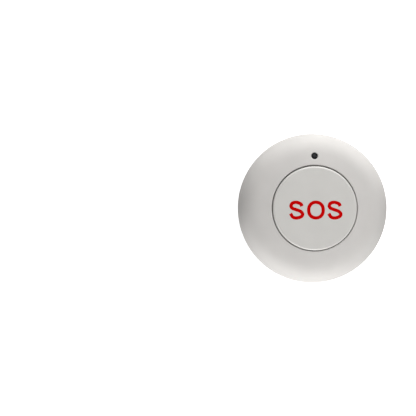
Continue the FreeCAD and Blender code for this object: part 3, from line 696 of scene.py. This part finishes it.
def make_screws():
    """Countersunk screws: a cross recess in the head and a helical thread on the shank.

    The recess ends where the larger of a point's two offsets from the axis passes the arms' length, or the
    smaller one half their width. The angles meet its corners. Its floor is a cone that is deepest at the
    centre. Rings between the cross and the head's edge mix the two. The thread's radius follows the angle
    less a whole turn for every pitch of height.
    """
    sink, head_r, shank_r, tip_r, length = 0.15 * MM, 1.9 * MM, 0.975 * MM, 0.45 * MM, 9.5 * MM
    arm, half_arm, recess, floor_slope = 1.05 * MM, 0.19 * MM, 0.75 * MM, 0.35
    cut, edge_cut, pitch, thread_depth = 0.1 * MM, 0.06 * MM, 0.9 * MM, 0.22
    neck, tip = sink + head_r - shank_r, sink + length
    corner = np.arctan2(half_arm, arm)
    eighth = np.concatenate([np.linspace(0, corner, 4), np.linspace(corner, pi / 4, 7)[1:]])
    quarter = np.concatenate([eighth, pi / 2 - eighth[-2:0:-1]])
    angles = (quarter + np.arange(4)[:, None] * pi / 2).ravel()
    offsets = np.sort(np.abs([np.cos(angles), np.sin(angles)]), 0)
    cross = np.minimum(half_arm / np.maximum(offsets[0], 1e-9), arm / offsets[1])
    floor_r = np.outer((0, 0.45, 0.88), cross)
    face_r = cross + np.outer(np.linspace(0, 1, 7), head_r - edge_cut - cross)
    shank_z = np.linspace(neck + 0.5 * MM, tip - 0.6 * MM, 90)
    thread = 0.5 + 0.5 * np.cos(angles - 2 * pi * shank_z[:, None] / pitch)
    ring = np.ones(len(angles))
    r = np.concatenate([floor_r, face_r, np.outer((head_r, head_r, shank_r), ring),
                        shank_r * (1 - thread_depth * thread), np.outer((tip_r, 0), ring)])
    level = np.concatenate([np.full(len(face_r), sink), (sink + edge_cut, sink + cut, neck + cut), shank_z,
                            (tip - cut, tip)])
    z = np.concatenate([sink + recess - floor_slope * floor_r, np.outer(level, ring)])
    grid = np.stack([r * np.cos(angles), r * np.sin(angles), z], -1)
    sheets = [shifted((grid, quads(*grid.shape[:2])), radius * cos(angle), radius * sin(angle))
              for radius, angle in SCREWS]
    made = piece("crosshead_screws", sheets, FINISHES["screw_steel"], "housing",
                 sharp=40.0)
    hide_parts("housing_screws")


make_front_shell()
make_push_cap()
make_legend()
make_window()
make_coil()
make_snap_disc()
make_screws()
softened("rear_shell", "back_cover_moulding", back_plastic, "housing", 0.10 * MM)
softened("battery_door", "coin_slot_door", back_plastic, "door", 0.12 * MM)

# Every CAD node wears the finish that its slot names.
SLOTS = {part["node"]: part["material_slot"] for part in frame["record"]["subparts"]}
for node, cad in frame["nodes"].items():
    cad.data.materials.clear()
    cad.data.materials.append(FINISHES[SLOTS[node]])


# Floor, light and camera


def white_share(tree):
    """1 for a ray that comes from the camera, or from it by way of gloss or glass, and 0 for light's own."""
    path = tree.nodes.new("ShaderNodeLightPath")
    share = path.outputs["Is Camera Ray"]
    for name in ("Is Glossy Ray", "Is Transmission Ray"):
        larger = tree.nodes.new("ShaderNodeMath")
        larger.operation = "MAXIMUM"
        tree.links.new(share, larger.inputs[0])
        tree.links.new(path.outputs[name], larger.inputs[1])
        share = larger.outputs[0]
    return share


def mixed(tree, for_light, for_eye):
    """A shader that is one node's for the light's own rays and the other's for those of white_share."""
    mix = tree.nodes.new("ShaderNodeMixShader")
    tree.links.new(white_share(tree), mix.inputs[0])
    tree.links.new(for_light.outputs[0], mix.inputs[1])
    tree.links.new(for_eye.outputs[0], mix.inputs[2])
    return mix.outputs[0]


def make_floor():
    """A round table top, all of it within the lamps' light, so that it ends where the world is as white."""
    reach, low, dim_grey, pale_grey, own_light = 0.45, -0.02 * MM, 0.25, 0.8, 0.7
    turns = np.linspace(0, 2 * pi, 96, endpoint=False)
    corners = np.column_stack([np.cos(turns) * reach, np.sin(turns) * reach, 0 * turns + low])
    mesh = bpy.data.meshes.new("floor")
    mesh.from_pydata(corners.tolist(), [], [list(range(len(corners)))])
    floor = bpy.data.objects.new("floor", mesh)
    bpy.context.scene.collection.objects.link(floor)
    material = bpy.data.materials.new("white table")
    material.use_nodes = True
    tree = material.node_tree
    tree.nodes.clear()
    dim, pale = tree.nodes.new("ShaderNodeBsdfDiffuse"), tree.nodes.new("ShaderNodeBsdfDiffuse")
    for diffuse, grey in ((dim, dim_grey), (pale, pale_grey)):
        diffuse.inputs["Color"].default_value = (grey, grey, grey, 1)
    lit = tree.nodes.new("ShaderNodeEmission")
    lit.inputs["Strength"].default_value = own_light
    both = tree.nodes.new("ShaderNodeAddShader")
    tree.links.new(pale.outputs[0], both.inputs[0])
    tree.links.new(lit.outputs[0], both.inputs[1])
    output = tree.nodes.new("ShaderNodeOutputMaterial")
    tree.links.new(mixed(tree, dim, both), output.inputs["Surface"])
    mesh.materials.append(material)


def make_world(strength):
    """An even light of the given strength all round, which looks plain white."""
    world = bpy.data.worlds.new("studio")
    bpy.context.scene.world = world
    world.use_nodes = True
    tree = world.node_tree
    tree.nodes.clear()
    dim, white = tree.nodes.new("ShaderNodeBackground"), tree.nodes.new("ShaderNodeBackground")
    for background, level in ((dim, strength), (white, 1.0)):
        background.inputs["Color"].default_value = (1, 1, 1, 1)
        background.inputs["Strength"].default_value = level
    output = tree.nodes.new("ShaderNodeOutputWorld")
    tree.links.new(mixed(tree, dim, white), output.inputs["Surface"])


LAMP_DISTANCE, LAMP_AIM_Z = 0.60, 10 * MM


def make_softbox(name, azimuth, elevation, size, power):
    """A square lamp that faces the button from a direction; azimuth 0 is +X and 90 is +Y."""
    lamp = bpy.data.lights.new(name, "AREA")
    lamp.shape, lamp.size, lamp.energy = "SQUARE", size, power
    holder = bpy.data.objects.new(name, lamp)
    a, e = radians(azimuth), radians(elevation)
    away = LAMP_DISTANCE * cos(e)
    holder.location = (away * cos(a), away * sin(a), LAMP_DISTANCE * sin(e) + LAMP_AIM_Z)
    holder.rotation_euler = (pi / 2 - e, 0, a + pi / 2)
    bpy.context.scene.collection.objects.link(holder)


# Each lamp's name, azimuth and elevation in degrees, width in metres and power in watts
SOFTBOXES = [
    ("front", 270, 10, 0.20, 3.33),
    ("back", 90, 10, 0.20, 2.40),
    ("right_back", 60, 20, 0.20, 1.55),
    ("left_front", 240, 10, 0.20, 0.58),
    ("right", 0, 35, 0.20, 0.24),
    ("overhead", 88, 75, 0.30, 0.66),
]
WORLD_LIGHT = 0.3
make_floor()
make_world(WORLD_LIGHT)
for softbox in SOFTBOXES:
    make_softbox(*softbox)

# The photograph's camera: straight above the table, a little to the left of the button
CAMERA_PLACE, LENS = (-41.99 * MM, 0.08 * MM, 498.8 * MM), 106.06
view = bpy.data.cameras.new("camera")
view.sensor_width, view.lens = 36.0, LENS
view.clip_start, view.clip_end = 0.01, 20.0
camera = bpy.data.objects.new("camera", view)
camera.location = CAMERA_PLACE
bpy.context.scene.collection.objects.link(camera)
bpy.context.scene.camera = camera
bpy.context.scene.view_settings.view_transform = "Standard"
